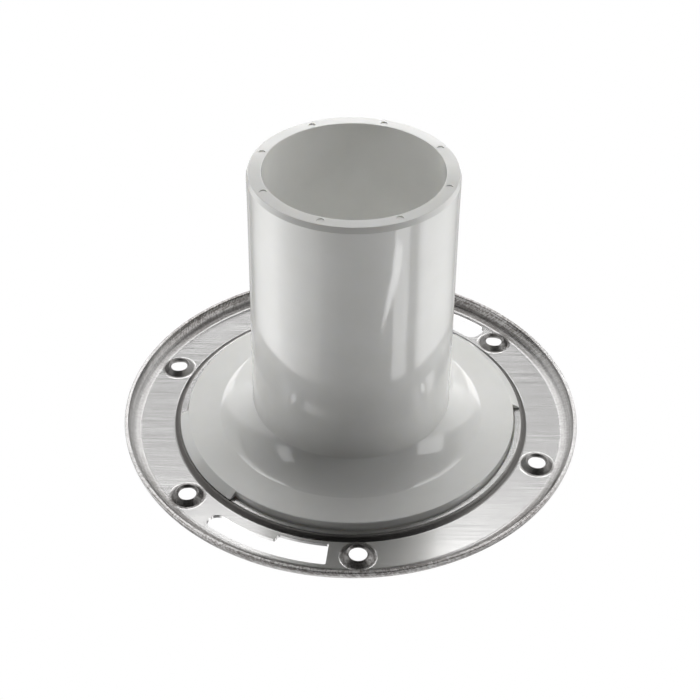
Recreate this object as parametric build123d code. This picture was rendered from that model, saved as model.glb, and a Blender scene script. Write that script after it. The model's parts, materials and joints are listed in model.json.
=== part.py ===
"""Closet flange: a PVC drain hub with a stainless steel swivel ring snapped round it.

The flange stands on its sealing face with the pipe spigot up, which is upside down from
how it is installed. The origin is the centre of the sealing face. +Z runs up the spigot.
All sizes are in millimetres and all angles in degrees, counterclockwise from +X.
"""
from build123d import *
import math
import os

# --- Hub: one PVC moulding ---
total_height = 115.75
bore_radius = 32.25
flare_radius = 20.0          # bore opening out into the sealing face
sealing_lip_radius = 67.2    # lip that lies under the ring's inner ledge
sealing_lip_top = 2.45
sealing_lip_round = 0.5
neck_radius = 64.3           # the ring turns on this
disc_top = 7.1
disc_edge_round = 0.4
foot_top_radius = 38.5       # where the drafted spigot meets its hollow foot
foot_top = 14.6
foot_top_round = 0.8
foot_bend_radius = 44.05     # corner of the foot before it is hollowed
foot_bend = 9.1
foot_hollow = 27.0
foot_edge_radius = 51.6      # where the foot runs out into the disc
foot_edge_round = 3.0
land_radius = 37.55          # straight land near the tip, where the pipe starts on
land_bottom = 99.5
land_top = 113.6
tip_radius = 36.95
tip_edge_round = 0.25
bore_mouth_round = 0.3

# --- Snap tabs of the hub, which keep the ring on ---
tab_starts = (2.5, 182.5)
tab_sweep = 46.5
tab_radius = 67.3
tab_underside = 4.35
tab_nose_top = 4.75
tab_root_radius = 63.0

# --- Ejector pin marks in the tip's end face ---
mark_count = 8
mark_first_angle = 26.6
mark_circle_radius = 34.4
mark_radius = 1.25
mark_depth = 0.35

# --- Ring: one pressing of stainless steel sheet ---
sheet = 1.4
ring_radius = 177.8 / 2      # 7 in across
plate_bottom = 1.5
plate_top = plate_bottom + sheet
lip_top = 7.7
lip_bend_inner = 4.5
lip_edge_round = 0.25
ledge_inner_radius = 65.0
ledge_outer_radius = 67.1
step_foot_radius = 70.0
step_height = 1.2            # ledge above plate
step_bend_angle = 45.0

# --- Countersunk screw holes, pressed up into cones ---
screw_circle_radius = 76.5
screw_angles = (-87.7, -21.4, 37.9)   # each has a twin half a turn away
screw_hole_radius = 3.35
screw_land = 0.4             # straight wall of the hole
cone_blank_radius = 6.4
cone_height = 1.9            # sides at 45 degrees
cone_foot_round = 0.5
cone_sheet = 1.05            # the sheet thins where it is stretched

# --- Slots for the closet bolts ---
slot_outer_radius = 80.9
slot_wide_inner_radius = 71.1
slot_narrow_inner_radius = 73.8
front_slot_angles = (-131.25, -111.25, -96.0)   # narrow end, step, wide end
back_slot_angles = (81.25, 61.25, 44.1)
front_wide_corner = 0.6
back_wide_corner = 3.6
slot_step_corner = 0.8


def polar(radius, angle):
    """Point in the XY plane."""
    return (radius * math.cos(math.radians(angle)), radius * math.sin(math.radians(angle)))


def nearest_vertex(sketch, point):
    """The corner of a sketch that is closest to a point."""
    return sketch.vertices().sort_by_distance(point)[0]


def turned(profile, angle=360.0):
    """Revolve a profile drawn in the XZ plane about the Z axis."""
    return revolve(profile, axis=Axis.Z, revolution_arc=angle)


def section(points):
    """Closed face in the XZ plane through (radius, height) points."""
    return make_face(Polyline([(r, 0, z) for r, z in points], close=True))


def rounded_corner(face, point, radius):
    """Fillet the corner of an XZ section that lies at (radius, height)."""
    corner = nearest_vertex(face, (point[0], 0, point[1]))
    return fillet(corner, radius)


def hub_section():
    """Half section of the hub: spigot, hollow foot, disc, neck, sealing lip and flared bore."""
    flare_end = (bore_radius + flare_radius, 0.0)
    flare_start = (bore_radius, flare_radius)
    flare_mid_offset = flare_radius * (1 - math.sqrt(0.5))
    outline = [
        flare_end,
        (sealing_lip_radius, 0.0),
        (sealing_lip_radius, sealing_lip_top),
        (neck_radius, sealing_lip_top),
        (neck_radius, disc_top),
        (foot_edge_radius, disc_top),
        (foot_bend_radius, foot_bend),
        (foot_top_radius, foot_top),
        (land_radius, land_bottom),
        (land_radius, land_top),
        (tip_radius, total_height),
        (bore_radius, total_height),
        flare_start,
    ]
    straight_edges = Polyline([(r, 0, z) for r, z in outline])
    flare = ThreePointArc(
        (flare_start[0], 0, flare_start[1]),
        (bore_radius + flare_mid_offset, 0, flare_mid_offset),
        (flare_end[0], 0, flare_end[1]),
    )
    face = make_face([*straight_edges.edges(), *flare.edges()])
    face = rounded_corner(face, (foot_edge_radius, disc_top), foot_edge_round)
    face = rounded_corner(face, (foot_bend_radius, foot_bend), foot_hollow)
    face = rounded_corner(face, (foot_top_radius, foot_top), foot_top_round)
    face = rounded_corner(face, (neck_radius, disc_top), disc_edge_round)
    face = rounded_corner(face, (sealing_lip_radius, sealing_lip_top), sealing_lip_round)
    face = rounded_corner(face, (sealing_lip_radius, 0.0), sealing_lip_round)
    face = rounded_corner(face, (tip_radius, total_height), tip_edge_round)
    face = rounded_corner(face, (bore_radius, total_height), bore_mouth_round)
    return face


def snap_tab(start_angle):
    """One tab: a catch over the ring's ledge with a ramp for the ring to ride over."""
    face = section([
        (tab_root_radius, tab_underside),
        (tab_radius, tab_underside),
        (tab_radius, tab_nose_top),
        (neck_radius - disc_edge_round, disc_top),
        (tab_root_radius, disc_top),
    ])
    return Rot(Z=start_angle) * turned(face, tab_sweep)


def ejector_marks():
    """Shallow round marks, ready to be cut from the tip's end face."""
    marks = []
    for index in range(mark_count):
        x, y = polar(mark_circle_radius, mark_first_angle + index * 360 / mark_count)
        marks.append(Pos(x, y, total_height) * Cylinder(mark_radius, 2 * mark_depth))
    return marks


def make_hub():
    hub = turned(hub_section())
    for start in tab_starts:
        hub += snap_tab(start)
    for mark in ejector_marks():
        hub -= mark
    return hub


def step_edge(offset, ledge_z):
    """The S-bend from the ledge down to the plate, on the sheet's surface at this offset
    from its middle. Returns the two arcs, from the ledge outwards."""
    mid_bend = step_height / 2 / (1 - math.cos(math.radians(step_bend_angle)))
    upper_centre_z = ledge_z - mid_bend
    lower_centre_z = ledge_z - step_height + mid_bend
    upper, lower = mid_bend + offset, mid_bend - offset
    half = math.radians(step_bend_angle / 2)
    full = math.radians(step_bend_angle)
    upper_arc = ThreePointArc(
        (ledge_outer_radius, 0, upper_centre_z + upper),
        (ledge_outer_radius + upper * math.sin(half), 0, upper_centre_z + upper * math.cos(half)),
        (ledge_outer_radius + upper * math.sin(full), 0, upper_centre_z + upper * math.cos(full)),
    )
    lower_arc = ThreePointArc(
        upper_arc @ 1,
        (step_foot_radius - lower * math.sin(half), 0, lower_centre_z - lower * math.cos(half)),
        (step_foot_radius, 0, lower_centre_z - lower),
    )
    return [upper_arc, lower_arc]


def lip_edge(bend_radius, outer_radius, bend_start_z):
    """Quarter bend from the plate up into the outer lip, then straight up to its rim."""
    bend_centre_z = plate_top + lip_bend_inner
    bend_centre_r = ring_radius - sheet - lip_bend_inner
    diagonal = bend_radius * math.sqrt(0.5)
    bend = ThreePointArc(
        (bend_centre_r, 0, bend_start_z),
        (bend_centre_r + diagonal, 0, bend_centre_z - diagonal),
        (outer_radius, 0, bend_centre_z),
    )
    return [bend, Line(bend @ 1, (outer_radius, 0, lip_top))]


def ring_section():
    """Half section of the sheet: ledge, step, plate and turned-up lip."""
    ledge_mid = plate_bottom + sheet / 2 + step_height
    top_step = step_edge(sheet / 2, ledge_mid)
    bottom_step = step_edge(-sheet / 2, ledge_mid)
    top_lip = lip_edge(lip_bend_inner, ring_radius - sheet, plate_top)
    bottom_lip = lip_edge(lip_bend_inner + sheet, ring_radius, plate_bottom)
    ledge_top = (ledge_inner_radius, 0, plate_top + step_height)
    ledge_bottom = (ledge_inner_radius, 0, plate_bottom + step_height)
    edges = [
        Line(ledge_bottom, ledge_top),
        Line(ledge_top, top_step[0] @ 0),
        *top_step,
        Line(top_step[1] @ 1, top_lip[0] @ 0),
        *top_lip,
        Line(top_lip[1] @ 1, bottom_lip[1] @ 1),
        *bottom_lip,
        Line(bottom_lip[0] @ 0, bottom_step[1] @ 1),
        *bottom_step,
        Line(bottom_step[0] @ 0, ledge_bottom),
    ]
    face = make_face(edges)
    face = rounded_corner(face, (ring_radius, lip_top), lip_edge_round)
    return rounded_corner(face, (ring_radius - sheet, lip_top), lip_edge_round)


def screw_cone():
    """A raised cone round a screw hole, with its countersink below, on the Z axis."""
    land_bottom_z = plate_top + cone_height - cone_sheet * math.sqrt(0.5) - screw_land
    rim_radius = screw_hole_radius + cone_sheet * math.sqrt(0.5)
    foot_radius = rim_radius + cone_height
    countersink_radius = screw_hole_radius + land_bottom_z - plate_bottom
    face = section([
        (screw_hole_radius, land_bottom_z),
        (countersink_radius, plate_bottom),
        (cone_blank_radius, plate_bottom),
        (cone_blank_radius, plate_top),
        (foot_radius, plate_top),
        (rim_radius, plate_top + cone_height),
        (screw_hole_radius, land_bottom_z + screw_land),
    ])
    face = rounded_corner(face, (foot_radius, plate_top), cone_foot_round)
    return turned(face)


def slot_cutter(angles, wide_corner):
    """A bolt slot: a narrow arc with a rounded end, and a wider stretch to drop the bolt in."""
    narrow_end, step, wide_end = angles

    def arc(radius, start, end):
        return CenterArc((0, 0), radius, start, end - start)

    def radial(angle, start_radius, end_radius):
        return Line(polar(start_radius, angle), polar(end_radius, angle))

    face = make_face([
        arc(slot_outer_radius, narrow_end, wide_end),
        radial(wide_end, slot_outer_radius, slot_wide_inner_radius),
        arc(slot_wide_inner_radius, wide_end, step),
        radial(step, slot_wide_inner_radius, slot_narrow_inner_radius),
        arc(slot_narrow_inner_radius, step, narrow_end),
        radial(narrow_end, slot_narrow_inner_radius, slot_outer_radius),
    ])
    narrow_corner = 0.49 * (slot_outer_radius - slot_narrow_inner_radius)
    corners = [
        (slot_outer_radius, narrow_end, narrow_corner),
        (slot_narrow_inner_radius, narrow_end, narrow_corner),
        (slot_outer_radius, wide_end, wide_corner),
        (slot_wide_inner_radius, wide_end, wide_corner),
        (slot_wide_inner_radius, step, slot_step_corner),
        (slot_narrow_inner_radius, step, slot_step_corner),
    ]
    for radius, angle, corner in corners:
        face = fillet(nearest_vertex(face, (*polar(radius, angle), 0)), corner)
    return extrude(face, amount=2 * plate_top)


def make_ring():
    ring = turned(ring_section())
    cone = screw_cone()
    for angle in (*screw_angles, *(a + 180 for a in screw_angles)):
        place = Rot(Z=angle) * Pos(screw_circle_radius, 0, 0)
        ring -= place * Pos(0, 0, plate_top) * Cylinder(cone_blank_radius, 4 * sheet)
        ring += place * cone
    ring -= slot_cutter(front_slot_angles, front_wide_corner)
    ring -= slot_cutter(back_slot_angles, back_wide_corner)
    return ring


def main():
    os.makedirs("parts", exist_ok=True)
    for name, solid in (("hub", make_hub()), ("swivel_ring", make_ring())):
        solid.label = name
        export_step(solid, f"parts/{name}.step")
        print(name, "solids", len(solid.solids()), "volume", round(solid.volume / 1000, 2), "cm3")


main()
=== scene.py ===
"""Looks of a closet flange: a glossy PVC drain hub with a stainless steel swivel ring.

Every length in the shapes below is in millimetres and becomes metres when a mesh is made.
Both CAD nodes are replaced by finer meshes on the same dimensions, with rounded edges and
exact normals, because both finishes mirror the studio.
"""
import json
import math

import bpy
from mathutils import Matrix, Vector, geometry


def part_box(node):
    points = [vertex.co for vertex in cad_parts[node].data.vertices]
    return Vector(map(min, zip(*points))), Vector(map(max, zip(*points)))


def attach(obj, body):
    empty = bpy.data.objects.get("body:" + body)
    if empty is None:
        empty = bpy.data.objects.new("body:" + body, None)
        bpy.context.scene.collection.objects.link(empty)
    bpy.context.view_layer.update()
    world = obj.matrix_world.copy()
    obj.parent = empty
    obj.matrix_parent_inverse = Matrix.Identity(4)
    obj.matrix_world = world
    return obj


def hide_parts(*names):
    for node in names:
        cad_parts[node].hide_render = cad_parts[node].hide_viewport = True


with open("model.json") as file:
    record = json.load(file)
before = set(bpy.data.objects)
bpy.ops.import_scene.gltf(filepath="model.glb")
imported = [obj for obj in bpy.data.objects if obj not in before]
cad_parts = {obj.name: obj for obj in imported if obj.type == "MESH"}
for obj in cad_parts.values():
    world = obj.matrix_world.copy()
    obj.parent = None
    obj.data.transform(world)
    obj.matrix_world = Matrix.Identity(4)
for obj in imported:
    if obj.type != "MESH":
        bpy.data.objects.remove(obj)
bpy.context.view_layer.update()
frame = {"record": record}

MM = 0.001
record = frame["record"]
mounts = {mount["name"]: mount for mount in record["mounts"]}
hub_low, hub_high = (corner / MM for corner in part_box("hub"))
ring_low, ring_high = (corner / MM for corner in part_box("swivel_ring"))


# ---------------------------------------------------------------- outlines and shells

ARC_STEP = math.radians(5.0)


def unit(vector):
    return Vector(vector).normalized()


def rounded(corners, closed):
    """Line through (x, y, radius) or (x, y, radius, steps) corners, each rounded to its
    radius. The solid lies on the line's left. Returns (position, outward normal) pairs."""
    result = []
    for index, (x, y, radius, *steps) in enumerate(corners):
        here = Vector((x, y))
        before = unit(here - Vector(corners[index - 1][:2]))
        after = unit(Vector(corners[(index + 1) % len(corners)][:2]) - here)
        if not closed and index == 0:
            result.append((here, Vector((after.y, -after.x))))
            continue
        first_normal = Vector((before.y, -before.x))
        if not closed and index == len(corners) - 1:
            result.append((here, first_normal))
            continue
        turn = math.atan2(before.x * after.y - before.y * after.x, before.dot(after))
        side = 1.0 if turn > 0 else -1.0
        start = here - before * radius * math.tan(abs(turn) / 2)
        centre = start - first_normal * radius * side
        count = steps[0] if steps else max(3, math.ceil(abs(turn) / ARC_STEP))
        for step in range(count + 1):
            a = turn * step / count
            c, s = math.cos(a), math.sin(a)
            normal = Vector((first_normal.x * c - first_normal.y * s,
                             first_normal.x * s + first_normal.y * c))
            result.append((centre + normal * radius * side, normal))
    return result


def divided(outline, longest):
    """The outline with points added on its straight runs, so that none is too long."""
    result = [outline[0]]
    for (a, n), (b, m) in zip(outline, outline[1:]):
        parts = math.ceil((b - a).length / longest)
        if (n - m).length < 1e-6:
            result += [(a.lerp(b, k / parts), n) for k in range(1, parts)]
        result.append((b, m))
    return result


class Shell:
    """Points with normals and faces, gathered into one closed mesh."""

    def __init__(self):
        self.points = []
        self.normals = []
        self.faces = []

    def point(self, position, normal):
        self.points.append(tuple(position))
        self.normals.append(None if normal is None else tuple(unit(normal)))
        return len(self.points) - 1

    def loop(self, positions, normals):
        return [self.point(p, n) for p, n in zip(positions, normals)]

    def strip(self, low, high):
        """Quads between two closed loops of the same length."""
        for index in range(len(low)):
            after = (index + 1) % len(low)
            self.faces.append((low[index], low[after], high[after], high[index]))

    def skin(self, loops, closed=False):
        for low, high in zip(loops, loops[1:]):
            self.strip(low, high)
        if closed:
            self.strip(loops[-1], loops[0])

    def fill(self, outer, holes, inner_points, z, up):
        """Flat triangles inside the outer loop and outside the holes."""
        loops = [outer, *holes]
        ids = [i for loop in loops for i in loop]
        ids += [self.point((x, y, z), (0, 0, 1 if up else -1)) for x, y in inner_points]
        edges = []
        base = 0
        for loop in loops:
            edges += [(base + k, base + (k + 1) % len(loop)) for k in range(len(loop))]
            base += len(loop)
        flat = [Vector(self.points[i][:2]) for i in ids]
        made = geometry.delaunay_2d_cdt(flat, edges, [], 0, 1e-6)
        outlines = [[self.points[i][:2] for i in loop] for loop in holes]
        for triangle in made[2]:
            corners = [made[0][k] for k in triangle]
            middle = sum(corners, Vector((0, 0))) / 3
            if any(contains(outline, middle) for outline in outlines):
                continue
            face = [ids[made[3][k][0]] for k in triangle]
            a, b, c = corners
            if ((b - a).cross(c - a) > 0) != up:
                face.reverse()
            self.faces.append(tuple(face))

    def outward(self, face):
        """The face, turned over if it looks against its points' normals."""
        corners = [Vector(self.points[i]) for i in face]
        looks = geometry.normal(corners)
        given = sum((Vector(self.normals[i]) for i in face if self.normals[i]), Vector())
        return face if looks.dot(given) >= 0 else tuple(reversed(face))

    def build(self, name, material, body, node):
        mesh = bpy.data.meshes.new(name)
        faces = [self.outward(face) for face in self.faces]
        mesh.from_pydata([[v * MM for v in p] for p in self.points], [], faces)
        mesh.shade_smooth()
        found = [v.vector.copy() for v in mesh.vertex_normals]
        wanted = [found[i] if n is None else n for i, n in enumerate(self.normals)]
        mesh.normals_split_custom_set_from_vertices(wanted)
        mesh.materials.append(material)
        piece = bpy.data.objects.new(name, mesh)
        bpy.context.scene.collection.objects.link(piece)
        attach(piece, body)
        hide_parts(node)
        return piece


def contains(outline, point):
    """Whether a closed outline goes round a point."""
    inside = False
    x, y = point
    if not min(p[0] for p in outline) < x < max(p[0] for p in outline):
        return False
    for (x0, y0), (x1, y1) in zip(outline, outline[1:] + outline[:1]):
        if (y0 > y) != (y1 > y) and x < x0 + (y - y0) * (x1 - x0) / (y1 - y0):
            inside = not inside
    return inside


def turn_loop(shell, radius, z, normal, angles, centre=(0.0, 0.0)):
    """A circle of points about a vertical axis, with normal = (radial, up)."""
    positions = []
    normals = []
    for angle in angles:
        c, s = math.cos(angle), math.sin(angle)
        positions.append((centre[0] + radius * c, centre[1] + radius * s, z))
        normals.append((normal[0] * c, normal[0] * s, normal[1]))
    return shell.loop(positions, normals)


def lattice(inner, outer, spacing, blocked):
    """Points spread over a flat annulus, clear of the blocked spots."""
    spread = []
    rows = max(1, round((outer - inner) / spacing))
    for row in range(1, rows):
        radius = inner + (outer - inner) * row / rows
        count = round(math.tau * radius / spacing)
        for k in range(count):
            angle = math.tau * (k + 0.5 * (row % 2)) / count
            spot = (radius * math.cos(angle), radius * math.sin(angle))
            if not blocked(spot):
                spread.append(spot)
    return spread


# ---------------------------------------------------------------- hub

COLUMNS = 432  # points round each full circle
bore = mounts["waste_bore"]["dims"]["r_mm"]
land = mounts["pipe_spigot"]["dims"]["r_mm"]
tip_z = hub_high.z
NECK = 64.3
DISC_TOP = 7.1
SEAL_RADIUS = 67.2
SEAL_TOP = 2.45
LAND_BOTTOM, LAND_TOP = 99.5, 113.6
# Hollow foot between the disc and the drafted spigot: radius, height and rounding.
FOOT = [(51.6, DISC_TOP, 3.0), (44.05, 9.1, 27.0), (38.5, 14.6, 0.8)]
TIP_RADIUS = 36.95
TAB_STARTS = (2.5, 182.5)
TAB_SWEEP = 46.5
TAB_RADIUS = 67.3
TAB_Z = (4.35, 4.75)
MARK_COUNT = 8
MARK_ANGLE = 26.6
MARK_CIRCLE, MARK_RADIUS, MARK_DEPTH = 34.4, 1.25, 0.35
TAB_END_WIDTH = 0.25  # degrees over which a tab's end wall rises
HUB_RUN = 4.0  # longest straight stretch between two loops of points
MARK_COLUMNS = 40

# Section lines as (radius, height, rounding), without the flats that join them. The first
# and last corner of each line only give its direction.
PIPE = [(NECK, DISC_TOP, 0), *FOOT, (land, LAND_BOTTOM, 4.0), (land, LAND_TOP, 0.3),
        (TIP_RADIUS, tip_z, 0.25), (bore, tip_z, 0)]
BORE = [(TIP_RADIUS, tip_z, 0), (bore, tip_z, 0.3), (bore, 0.0, 20.0), (SEAL_RADIUS, 0.0, 0)]
RIM_START = [(bore, 0.0, 0), (SEAL_RADIUS, 0.0, 0.5), (SEAL_RADIUS, SEAL_TOP, 0.5),
             (NECK, SEAL_TOP, 0.3)]
PLAIN_RIM = [*RIM_START, (NECK, DISC_TOP, 0.4, 4), (bore, DISC_TOP, 0)]
TAB_RIM = [*RIM_START, (NECK, TAB_Z[0], 0.2, 4), (TAB_RADIUS, TAB_Z[0], 0.14, 4),
           (TAB_RADIUS, TAB_Z[1], 0.14, 4), (NECK - 0.4, DISC_TOP, 0.4, 4), (bore, DISC_TOP, 0)]


def rim_outlines():
    """The rim's section clear of the tabs and through a tab, point for point."""
    tabbed = rounded(TAB_RIM, closed=False)[1:-1]
    plain = rounded(PLAIN_RIM, closed=False)[1:-1]
    extra = len(tabbed) - len(plain)
    first = next(k for k, (p, n) in enumerate(plain) if p.y > TAB_Z[0])
    low, high = TAB_Z[0] - 0.2, DISC_TOP - 0.5
    wall = [(Vector((NECK, low + (high - low) * k / (extra - 1))), Vector((1.0, 0.0)))
            for k in range(extra)]
    return plain[:first] + wall + plain[first:], tabbed


def tab_share(angle):
    """How far the snap tab stands out at this angle: 0 clear of it, 1 over it."""
    degrees = math.degrees(angle) % 360
    share = 0.0
    for start in TAB_STARTS:
        inside = min(degrees - start, start + TAB_SWEEP - degrees)
        share = max(share, min(1.0, max(0.0, inside / TAB_END_WIDTH)))
    return share * share * (3 - 2 * share)


def rim_columns():
    """Angles of the rim's columns, close together at the tabs' ends."""
    ends = [math.radians(a) for start in TAB_STARTS for a in (start, start + TAB_SWEEP)]
    reach = math.radians(2 * TAB_END_WIDTH)
    even = [math.tau * k / COLUMNS for k in range(COLUMNS)]
    angles = [a for a in even if all(abs(a - end) > reach for end in ends)]
    for end in ends:
        angles += [end + reach * k / 8 for k in range(-8, 9)]
    return sorted(angles)


def rim_loops(shell):
    angles = rim_columns()
    shares = [tab_share(a) for a in angles]
    loops = []
    for (p, n), (q, m) in zip(*rim_outlines()):
        same = (p - q).length < 1e-6
        positions = []
        normals = []
        for angle, share in zip(angles, shares):
            c, s = math.cos(angle), math.sin(angle)
            spot = p.lerp(q, share)
            normal = n if share == 0 or same else m if share == 1 else None
            positions.append((spot.x * c, spot.x * s, spot.y))
            normals.append(normal and (normal.x * c, normal.x * s, normal.y))
        loops.append(shell.loop(positions, normals))
    return loops


def mark_loops(shell):
    """Sunk round marks in the tip's end face. Returns their rims."""
    turns = [-math.tau * k / MARK_COLUMNS for k in range(MARK_COLUMNS)]
    soft = rounded([(MARK_RADIUS + 1, tip_z, 0), (MARK_RADIUS, tip_z, 0.06, 3),
                    (MARK_RADIUS, tip_z - MARK_DEPTH, 0.06, 3), (0, tip_z - MARK_DEPTH, 0)],
                   closed=False)[1:-1]
    rims = []
    for k in range(MARK_COUNT):
        a = math.radians(MARK_ANGLE) + math.tau * k / MARK_COUNT
        centre = (MARK_CIRCLE * math.cos(a), MARK_CIRCLE * math.sin(a))
        loops = [turn_loop(shell, p.x, p.y, n, turns, centre) for p, n in soft]
        shell.skin(loops)
        shell.faces.append(tuple(reversed(loops[-1])))
        rims.append(loops[0])
    return rims


def make_hub(material):
    shell = Shell()
    turns = [math.tau * k / COLUMNS for k in range(COLUMNS)]
    pipe, inside = ([turn_loop(shell, p.x, p.y, n, turns)
                     for p, n in divided(rounded(line, closed=False)[1:-1], HUB_RUN)]
                    for line in (PIPE, BORE))
    rim = rim_loops(shell)
    for loops in (pipe, inside, rim):
        shell.skin(loops)
    shell.fill(pipe[-1], [inside[0], *mark_loops(shell)], [], tip_z, up=True)
    shell.fill(rim[-1], [pipe[0]], [], DISC_TOP, up=True)
    shell.fill(rim[0], [inside[-1]], [], 0.0, up=False)
    return shell.build("hub_moulding", material, "hub", "hub")


# ---------------------------------------------------------------- swivel ring

SHEET = 1.4
HALF = SHEET / 2
ring_radius = ring_high.x
lip_top = ring_high.z
plate_mid = ring_low.z + HALF
LEDGE_INNER = 65.0
STEP_HEIGHT = 1.2
STEP_CORNERS = (67.9485, 69.1485)
STEP_BEND = 2.0485
PLATE_INNER, PLATE_OUTER = 70.0, 83.0
LIP_EDGE_ROUND, LEDGE_EDGE_ROUND = 0.25, 0.12
CUT_ROUND = 0.13  # burr-free rounding of a punched edge
SLOT_OUTER, SLOT_WIDE, SLOT_NARROW = 80.9, 71.1, 73.8
# Narrow end, step, wide end (degrees), and the wide end's corner radius.
SLOTS = ((-131.25, -111.25, -96.0, 0.6), (81.25, 61.25, 44.1, 3.6))
SLOT_STEP_ROUND = 0.8
screw_radius = mounts["screw_hole_1"]["dims"]["r_mm"]
CONE_RIM, CONE_FOOT, CONE_HEIGHT = 4.0925, 5.9925, 1.9
CONE_LAND = (3.6575, 4.0575)
CONE_FOOT_ROUND, CONE_RIM_ROUND, CONE_LAND_ROUND, CONE_UNDER_ROUND = 0.5, 0.15, 0.1, 0.25
CONE_COLUMNS = 72
RING_RUN = 0.8  # longest straight stretch between two loops of points
PLATE_SPACING = 2.6  # between the points spread over the flat plate
CUT_CLEARANCE = 1.2  # from those points to the edge of a hole


def edge_cap(end, along, normal, radius, steps=3):
    """Rounded end of the sheet, from the side its normal points to round to the other."""
    result = []
    for first, second, side in ((normal, along, 1), (along, -normal, -1)):
        centre = end + normal * (HALF - radius) * side
        for step in range(steps + 1):
            a = math.radians(90 * step / steps)
            direction = first * math.cos(a) + second * math.sin(a)
            result.append((centre + direction * radius, direction))
    return result


def ring_outline():
    """The sheet's section, with the two places where the flat plate starts and ends."""
    ledge = plate_mid + STEP_HEIGHT
    mid = rounded([
        (LEDGE_INNER + LEDGE_EDGE_ROUND, ledge, 0),
        (STEP_CORNERS[0], ledge, STEP_BEND, 8),
        (STEP_CORNERS[1], plate_mid, STEP_BEND, 8),
        (ring_radius - HALF, plate_mid, ring_radius - HALF - PLATE_OUTER, 20),
        (ring_radius - HALF, lip_top - LIP_EDGE_ROUND, 0),
    ], closed=False)
    under = [(p + n * HALF, n) for p, n in mid]
    upper = [(p - n * HALF, -n) for p, n in reversed(mid)]
    rim = edge_cap(mid[-1][0], Vector((0, 1)), mid[-1][1], LIP_EDGE_ROUND)
    bore_edge = edge_cap(mid[0][0], Vector((-1, 0)), -mid[0][1], LEDGE_EDGE_ROUND)
    return under[:-1] + rim + upper[1:-1] + bore_edge


def slot_outline(narrow_end, step, wide_end, wide_round):
    """Slot outline as (position, direction into the slot) pairs. It is drawn in (angle, log
    radius), where circles and radial lines are straight and right angles stay right."""
    end_round = 0.49 * (SLOT_OUTER - SLOT_NARROW)
    corners = [
        (narrow_end, SLOT_OUTER, end_round),
        (wide_end, SLOT_OUTER, wide_round),
        (wide_end, SLOT_WIDE, wide_round),
        (step, SLOT_WIDE, SLOT_STEP_ROUND),
        (step, SLOT_NARROW, SLOT_STEP_ROUND),
        (narrow_end, SLOT_NARROW, end_round),
    ]
    if wide_end < narrow_end:
        corners.reverse()
    unrolled = [(math.radians(a), math.log(r), f / r) for a, r, f in corners]
    line = rounded(unrolled, closed=True)
    result = []
    for spot, normal in divided(line + line[:1], math.radians(0.75))[:-1]:
        c, s = math.cos(spot.x), math.sin(spot.x)
        radius = math.exp(spot.y)
        inward = (normal.y * c - normal.x * s, normal.y * s + normal.x * c)
        result.append((Vector((radius * c, radius * s)), Vector(inward)))
    return result


def punch(shell, outline, low, high):
    """Wall of a punched hole, with both edges rounded. Returns its upper and lower loops."""
    loops = []
    angles = [math.radians(30 * k) for k in range(4)]
    section = [(high - CUT_ROUND, 1, a) for a in angles]
    section += [(low + CUT_ROUND, -1, a) for a in reversed(angles)]
    for z, side, a in section:
        positions = []
        normals = []
        for spot, inward in outline:
            flat = spot - inward * CUT_ROUND * (1 - math.sin(a))
            positions.append((flat.x, flat.y, z + side * CUT_ROUND * math.cos(a)))
            tilt = inward * math.sin(a)
            normals.append((tilt.x, tilt.y, side * math.cos(a)))
        loops.append(shell.loop(positions, normals))
    shell.skin(loops)
    return loops[0], loops[-1]


def screw_cone(shell, centre, low, high):
    """Cone pressed up round a screw hole. Returns its loops on the plate's two faces."""
    land_low, land_high = CONE_LAND
    outline = rounded([
        (CONE_FOOT + 2, high, 0),
        (CONE_FOOT, high, CONE_FOOT_ROUND, 8),
        (CONE_RIM, high + CONE_HEIGHT, CONE_RIM_ROUND, 4),
        (screw_radius, land_high, CONE_LAND_ROUND, 3),
        (screw_radius, land_low, CONE_LAND_ROUND, 3),
        (screw_radius + land_low - low, low, CONE_UNDER_ROUND, 4),
        (CONE_FOOT + 2, low, 0),
    ], closed=False)[1:-1]
    turns = [math.tau * k / CONE_COLUMNS for k in range(CONE_COLUMNS)]
    loops = [turn_loop(shell, p.x, p.y, n, turns, centre) for p, n in outline]
    shell.skin(loops)
    return loops[0], loops[-1]


def make_ring(material):
    shell = Shell()
    low, high = plate_mid - HALF, plate_mid + HALF
    turns = [math.tau * k / COLUMNS for k in range(COLUMNS)]
    outline = divided(ring_outline(), RING_RUN)
    outline = [(p, n) for p, n in outline if not PLATE_INNER + 0.01 < p.x < PLATE_OUTER - 0.01]
    rows = [turn_loop(shell, p.x, p.y, n, turns) for p, n in outline]
    plates = {}
    for index, (p, n) in enumerate(outline):
        after = (index + 1) % len(outline)
        if abs(outline[after][0].x - p.x) > PLATE_OUTER - PLATE_INNER - 0.02:
            inner, outer = sorted((index, after), key=lambda k: outline[k][0].x)
            plates[n.y > 0] = (rows[outer], rows[inner])
        else:
            shell.strip(rows[index], rows[after])
    cuts = [punch(shell, slot_outline(*slot), low, high) for slot in SLOTS]
    for name, mount in mounts.items():
        if name.startswith("screw_hole"):
            x, y, _ = mount["pos_m"]
            cuts.append(screw_cone(shell, (x / MM, y / MM), low, high))
    edges = [shell.points[i][:2] for upper, _ in cuts for i in upper]
    shapes = [[shell.points[i][:2] for i in upper] for upper, _ in cuts]

    def blocked(spot):
        if any(math.dist(spot, edge) < CUT_CLEARANCE for edge in edges):
            return True
        return any(contains(shape, spot) for shape in shapes)

    spread = lattice(PLATE_INNER, PLATE_OUTER, PLATE_SPACING, blocked)
    for up, z in ((True, high), (False, low)):
        outer, inner = plates[up]
        holes = [inner] + [upper if up else lower for upper, lower in cuts]
        shell.fill(outer, holes, spread, z, up)
    return shell.build("swivel_plate", material, "swivel_ring", "swivel_ring")


# ---------------------------------------------------------------- finishes

def new_material(name):
    material = bpy.data.materials.new(name)
    material.use_nodes = True
    return material, material.node_tree, material.node_tree.nodes["Principled BSDF"]


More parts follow.
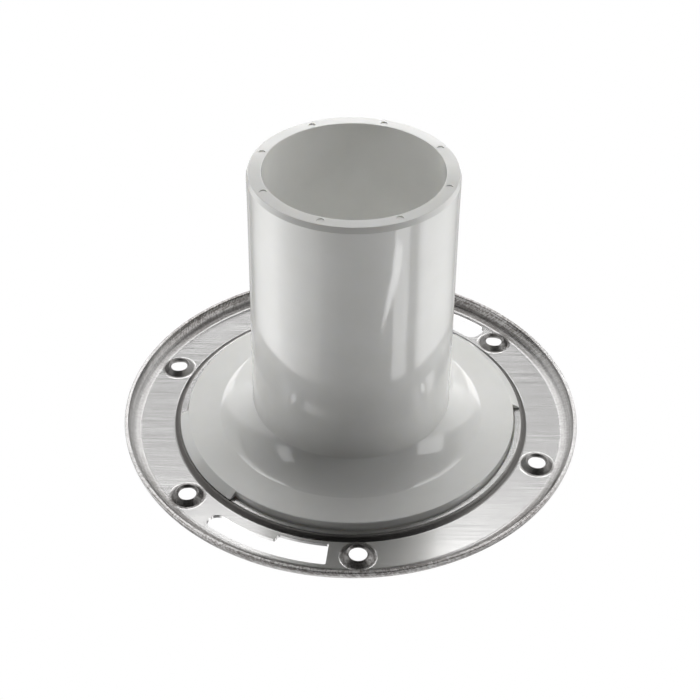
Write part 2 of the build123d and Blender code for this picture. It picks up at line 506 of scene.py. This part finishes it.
def node(tree, kind, settings=None, **inputs):
    """A shader node, its settings, and its inputs as values or links."""
    made = tree.nodes.new("ShaderNode" + kind)
    for key, value in (settings or {}).items():
        setattr(made, key, value)
    for key, value in inputs.items():
        socket = made.inputs[int(key[1:])] if key[0] == "i" and key[1:].isdigit() else made.inputs[key]
        if isinstance(value, bpy.types.NodeSocket):
            tree.links.new(value, socket)
        else:
            socket.default_value = value
    return made


def math_node(tree, operation, *values):
    return node(tree, "Math", {"operation": operation},
                **{f"i{k}": v for k, v in enumerate(values)}).outputs[0]


def ramp(tree, value, low, high, to_low, to_high):
    made = node(tree, "MapRange", {"interpolation_type": "SMOOTHSTEP"}, Value=value)
    for key, number in (("From Min", low), ("From Max", high), ("To Min", to_low), ("To Max", to_high)):
        made.inputs[key].default_value = number
    return made.outputs[0]


def noise(tree, vector, scale, detail=2.0, roughness=0.5):
    return node(tree, "TexNoise", Vector=vector, Scale=scale, Detail=detail,
                Roughness=roughness).outputs["Fac"]


def bump(tree, height, distance, normal=None):
    made = node(tree, "Bump", Height=height, Distance=distance, Strength=1.0)
    if normal:
        tree.links.new(normal, made.inputs["Normal"])
    return made.outputs[0]


def make_pvc():
    """Glossy off-white PVC: faint waviness from the mould and a very fine grain."""
    material, tree, shader = new_material("pvc_gloss")
    place = node(tree, "TexCoord").outputs["Object"]
    wave = noise(tree, place, 45.0, 1.0)
    grain = noise(tree, place, 1800.0, 3.0, 0.6)
    relief = bump(tree, wave, 0.00012)
    relief = bump(tree, grain, 0.000004, relief)
    tree.links.new(relief, shader.inputs["Normal"])
    tint = node(tree, "Mix", {"data_type": "RGBA"},
                Factor=ramp(tree, noise(tree, place, 60.0, 4.0), 0.3, 0.7, 0.0, 1.0))
    tint.inputs[6].default_value = (0.85, 0.85, 0.825, 1)
    tint.inputs[7].default_value = (0.88, 0.88, 0.86, 1)
    tree.links.new(tint.outputs[2], shader.inputs["Base Color"])
    rough = ramp(tree, noise(tree, place, 220.0, 3.0), 0.3, 0.7, 0.06, 0.10)
    tree.links.new(rough, shader.inputs["Roughness"])
    shader.inputs["IOR"].default_value = 1.54
    shader.inputs["Subsurface Weight"].default_value = 0.12
    shader.inputs["Subsurface Radius"].default_value = (1.0, 0.9, 0.7)
    shader.inputs["Subsurface Scale"].default_value = 0.002
    return material


# Where the worked zones of the pressing set in or end, as radii in metres.
STEP_START, STEP_END = (0.0668, 0.0676), (0.0692, 0.0700)
LIP_START, BEND_END = (0.0822, 0.0838), (0.0856, 0.0872)
CONE_END = (0.0062, 0.0072)  # from the screw hole's centre
LIP_CIRCLE = 0.088  # radius at which the marks along the lip keep their true length
FRONT_BACK_SHADE_REACH = (0.02, 0.06)  # distance from the X axis over which painted shade grows towards the front and back, darkening the marks and the bend


def make_steel():
    """Mill-finish stainless: straight rolling grain, with dark drawing marks and soiling
    where the sheet was worked: the step, the bend, the turned lip and the cones. Painted
    shade darkens the step, the bend into the lip and the cones, and makes the marks and the
    bend darker towards the front and back."""
    material, tree, shader = new_material("stainless_mill")
    place = node(tree, "TexCoord").outputs["Object"]
    x, y, z = node(tree, "SeparateXYZ", Vector=place).outputs
    square = math_node(tree, "ADD", math_node(tree, "MULTIPLY", x, x),
                       math_node(tree, "MULTIPLY", y, y))
    radius = math_node(tree, "SQRT", square)
    around = math_node(tree, "MULTIPLY", math_node(tree, "ARCTAN2", y, x), LIP_CIRCLE)
    lip = ramp(tree, radius, *LIP_START, 0.0, 1.0)
    step = math_node(tree, "MULTIPLY", ramp(tree, radius, *STEP_START, 0.0, 1.0),
                     ramp(tree, radius, *STEP_END, 1.0, 0.0))
    bend = math_node(tree, "MULTIPLY", ramp(tree, radius, *LIP_START, 0.0, 0.75),
                     ramp(tree, radius, *BEND_END, 1.0, 0.0))
    # Painted shade: a factor that makes the colour darker towards the front and back, away from the X
    # axis.
    front_back_shade = ramp(tree, math_node(tree, "ABSOLUTE", y), *FRONT_BACK_SHADE_REACH, 0.35, 1.0)

    def stretched(vector, scale, detail, roughness):
        placed = node(tree, "Mapping", Vector=vector, Scale=scale).outputs[0]
        return noise(tree, placed, 1.0, detail, roughness)

    grain = stretched(place, (35.0, 2400.0, 300.0), 3.0, 0.6)
    slant = math_node(tree, "ADD", around, math_node(tree, "MULTIPLY", z, 0.7))
    drawn_place = node(tree, "CombineXYZ", X=slant, Y=z, Z=radius).outputs[0]
    hatch = stretched(drawn_place, (1500.0, 260.0, 260.0), 4.0, 0.65)
    streaks = stretched(drawn_place, (25.0, 1300.0, 1300.0), 3.0, 0.6)
    pits = noise(tree, place, 1100.0, 3.0, 0.7)
    marks = math_node(tree, "ADD", hatch, math_node(tree, "ADD", streaks, pits))

    cones = 0.0
    for name, mount in mounts.items():
        if name.startswith("screw_hole"):
            away = node(tree, "VectorMath", {"operation": "DISTANCE"}, i0=place, i1=mount["pos_m"])
            near = ramp(tree, away.outputs["Value"], *CONE_END, 1.0, 0.0)
            cones = math_node(tree, "ADD", cones, near)
    # Painted shade: colour darkened at the step, at the bend into the lip (more towards the front and
    # back) and round the cones.
    painted_shade = math_node(tree, "MAXIMUM", math_node(tree, "MULTIPLY", bend, front_back_shade),
                     math_node(tree, "MULTIPLY", cones, 0.6))
    painted_shade = math_node(tree, "MAXIMUM", step, painted_shade)
    worked = math_node(tree, "ADD", lip, math_node(tree, "MAXIMUM", step, cones))

    relief = bump(tree, noise(tree, place, 38.0, 1.5), 0.00012)
    relief = bump(tree, grain, 0.000006, relief)
    relief = bump(tree, math_node(tree, "MULTIPLY", marks, worked), 0.00013, relief)
    tree.links.new(relief, shader.inputs["Normal"])

    # Dark drawing marks and soiling in the worked zones: partly real soiling and partly painted shade,
    # as they are made darker towards the front and back.
    marks_and_shade = math_node(tree, "MULTIPLY", ramp(tree, marks, 1.3, 1.7, 0.2, 1.0),
                       math_node(tree, "MULTIPLY", worked, front_back_shade))
    stain_and_shade = node(tree, "Mix", {"data_type": "RGBA"}, Factor=marks_and_shade)
    stain_and_shade.inputs[6].default_value = (0.56, 0.555, 0.55, 1)
    stain_and_shade.inputs[7].default_value = (0.15, 0.137, 0.13, 1)
    # Painted shade: mixes in the darkened colour at the step, the bend and the cones.
    painted_shade_mix = node(tree, "Mix", {"data_type": "RGBA"}, Factor=painted_shade)
    tree.links.new(stain_and_shade.outputs[2], painted_shade_mix.inputs[6])
    painted_shade_mix.inputs[7].default_value = (0.13, 0.125, 0.12, 1)
    tree.links.new(painted_shade_mix.outputs[2], shader.inputs["Base Color"])
    shader.inputs["Metallic"].default_value = 1.0
    rough = math_node(tree, "ADD", ramp(tree, grain, 0.3, 0.7, 0.17, 0.25),
                      math_node(tree, "MULTIPLY", worked, 0.14))
    tree.links.new(rough, shader.inputs["Roughness"])
    return material


make_hub(make_pvc())
make_ring(make_steel())


# ---------------------------------------------------------------- studio

DOME = 2.0  # metres from the object to the lights
BACKDROP = 5.5  # metres from the object to the backdrop
FLOOR = 6.0  # half the floor's width, in metres
# Soft light panels on a dome: azimuths and elevations in degrees, strength, and the degrees
# over which each end fades out. Azimuth 0 is +X and 90 is the back. The front stays nearly
# dark.
PANELS = {
    "right_low": ((-25, 60), (-12, 28), 1.45, (10, 0)),
    "right_side": ((-12, 18), (28, 45), 3.0, (0, 0)),
    "right_ground": ((-18, 60), (-50, -12), 2.9, (8, 70)),
    "right_ground_near": ((-45, -25), (-50, -8), 2.8, (0, 5)),
    "left_low": ((120, 205), (-12, 28), 1.4, (0, 20)),
    "left_card": ((184, 200), (36, 54), 2.2, (0, 0)),
    "left_ground": ((130, 262), (-50, -12), 3.6, (50, 90)),
    "back_low": ((60, 120), (-12, 18), 0.7, (0, 0)),
    "back_ground": ((60, 120), (-50, -12), 0.4, (0, 0)),
    "back_middle": ((60, 120), (18, 33), 3.4, (0, 0)),
    "back_gap": ((30, 150), (33, 38.3), 0.2, (0, 0)),
    "back_mirrored": ((40, 140), (38.3, 50), 0.7, (0, 0)),
    "back_high": ((42, 138), (50, 66), 4.2, (8, 8)),
    "front_ground": ((235, 315), (-55, -8), 0.3, (0, 0)),
    "front_fill": ((215, 325), (8, 38), 0.12, (0, 0)),
    "underneath": ((0, 360), (-90, -62), 1.3, (0, 0)),
}


def glowing(name, strength):
    """A black material that gives off light, by the mesh's own glow at each point."""
    material, tree, shader = new_material(name)
    glow = node(tree, "Attribute", {"attribute_name": "glow"}).outputs["Fac"]
    shader.inputs["Base Color"].default_value = (0, 0, 0, 1)
    shader.inputs["Specular IOR Level"].default_value = 0.0
    shader.inputs["Emission Color"].default_value = (1, 1, 1, 1)
    tree.links.new(math_node(tree, "MULTIPLY", glow, strength), shader.inputs["Emission Strength"])
    return material


def stage_mesh(name, points, faces, glow, strength, seen):
    """A glowing surface that either only the camera sees or only lights and reflections."""
    mesh = bpy.data.meshes.new(name)
    mesh.from_pydata(points, [], faces)
    mesh.attributes.new("glow", "FLOAT", "POINT").data.foreach_set("value", glow)
    mesh.materials.append(glowing(name, strength))
    piece = bpy.data.objects.new(name, mesh)
    piece.visible_camera = seen
    for rays in ("diffuse", "glossy", "transmission", "shadow"):
        setattr(piece, "visible_" + rays, not seen)
    bpy.context.scene.collection.objects.link(piece)


def dome_patch(name, azimuths, elevations, strength, fades=(0, 0), radius=DOME, seen=False):
    """Part of a sphere round the object."""
    across = math.ceil((azimuths[1] - azimuths[0]) / 5)
    upward = math.ceil((elevations[1] - elevations[0]) / 5)
    points = []
    glow = []
    for i in range(upward + 1):
        e = math.radians(elevations[0] + (elevations[1] - elevations[0]) * i / upward)
        for k in range(across + 1):
            degrees = azimuths[0] + (azimuths[1] - azimuths[0]) * k / across
            a = math.radians(degrees)
            points.append((radius * math.cos(e) * math.cos(a), radius * math.cos(e) * math.sin(a),
                           radius * math.sin(e)))
            shares = [1.0]
            shares += [(degrees - azimuths[0]) / fades[0]] if fades[0] else []
            shares += [(azimuths[1] - degrees) / fades[1]] if fades[1] else []
            glow.append(min(shares))
    row = across + 1
    faces = [(i * row + k, i * row + k + 1, (i + 1) * row + k + 1, (i + 1) * row + k)
             for i in range(upward) for k in range(across)]
    stage_mesh(name, points, faces, glow, strength, seen)


def flat_patch(name, corners, z, strength, seen=False):
    """A level glowing face through (x, y) corners."""
    points = [(x, y, z) for x, y in corners]
    stage_mesh(name, points, [tuple(range(len(points)))], [1.0] * len(points), strength, seen)


for name, panel in PANELS.items():
    dome_patch(name, *panel)
# Small bright card on the ground, which the spigot mirrors as a long slanting glint.
GLINT = [(0.060, -0.121), (0.104, -0.139), (0.135, -0.144), (0.146, -0.129), (0.142, -0.119),
         (0.098, -0.122)]
flat_patch("glint_card", GLINT, 0.0, 6.0)
ground = hub_low.z * MM - 0.0002
square = [(-FLOOR, -FLOOR), (FLOOR, -FLOOR), (FLOOR, FLOOR), (-FLOOR, FLOOR)]
flat_patch("floor", square, ground, 1.0, seen=True)
dome_patch("backdrop", (0, 360), (-2, 88), 1.0, radius=BACKDROP, seen=True)

world = bpy.data.worlds.new("studio")
bpy.context.scene.world = world
world.use_nodes = True
world.node_tree.nodes["Background"].inputs["Color"].default_value = (0, 0, 0, 1)
world.node_tree.nodes["Background"].inputs["Strength"].default_value = 1.0

CAMERA_PLACE = (-0.00063, -0.41054, 0.36120)
CAMERA_DIP = 38.421  # degrees below level
CAMERA_ROLL = 0.659  # degrees
camera_data = bpy.data.cameras.new("camera")
camera_data.sensor_width = 36.0
camera_data.lens = 70.24
camera = bpy.data.objects.new("camera", camera_data)
camera.matrix_world = (Matrix.Translation(CAMERA_PLACE)
                       @ Matrix.Rotation(math.radians(90 - CAMERA_DIP), 4, "X")
                       @ Matrix.Rotation(math.radians(CAMERA_ROLL), 4, "Z"))
bpy.context.scene.collection.objects.link(camera)
bpy.context.scene.camera = camera
bpy.context.scene.view_settings.view_transform = "Standard"
